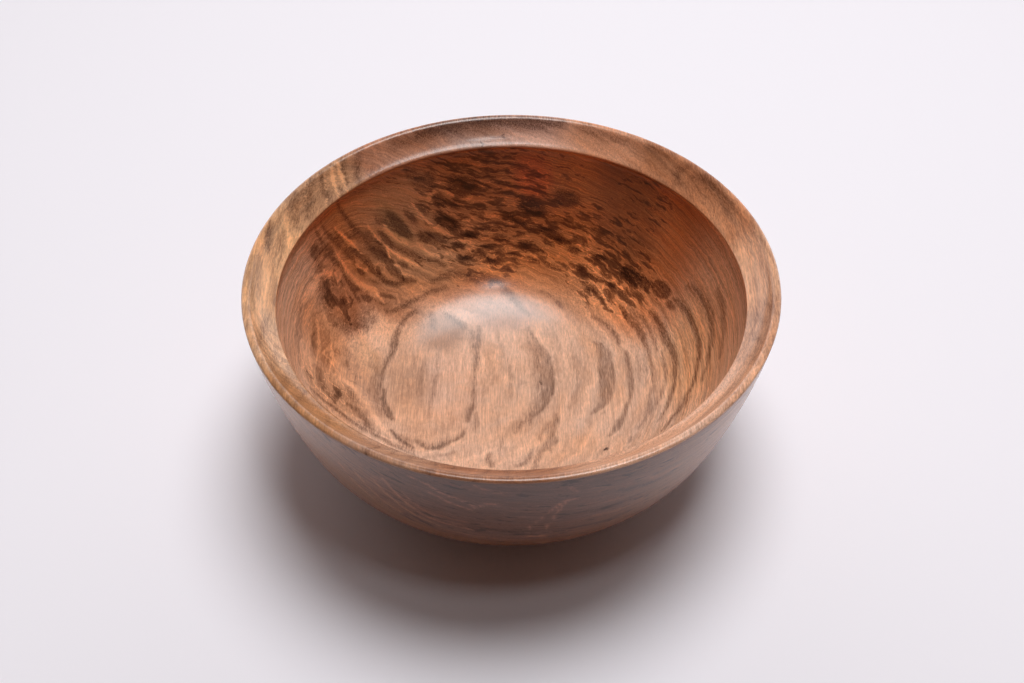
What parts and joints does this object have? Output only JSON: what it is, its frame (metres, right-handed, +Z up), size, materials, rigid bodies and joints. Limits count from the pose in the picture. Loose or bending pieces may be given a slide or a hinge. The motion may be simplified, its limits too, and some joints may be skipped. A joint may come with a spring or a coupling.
{
  "type": "turned wooden bowl",
  "caption": "Deep round bowl turned from one block of figured hardwood, with an inward-sloping bevelled rim, a rounded lip, an undercut hollow and a recessed foot ring.",
  "frame": {"origin": "centre of the foot ring, on the plane that the bowl stands on", "axes": "+Z up along the turning axis; +Y away from the picture's viewer, along the grain; +X to the viewer's right"},
  "size_m": [0.25, 0.25, 0.106],
  "materials": {
    "turned_wood": "satin oiled"
  },
  "bodies": {
    "root": {"bowl": "turned_wood"}
  },
  "joints": []
}
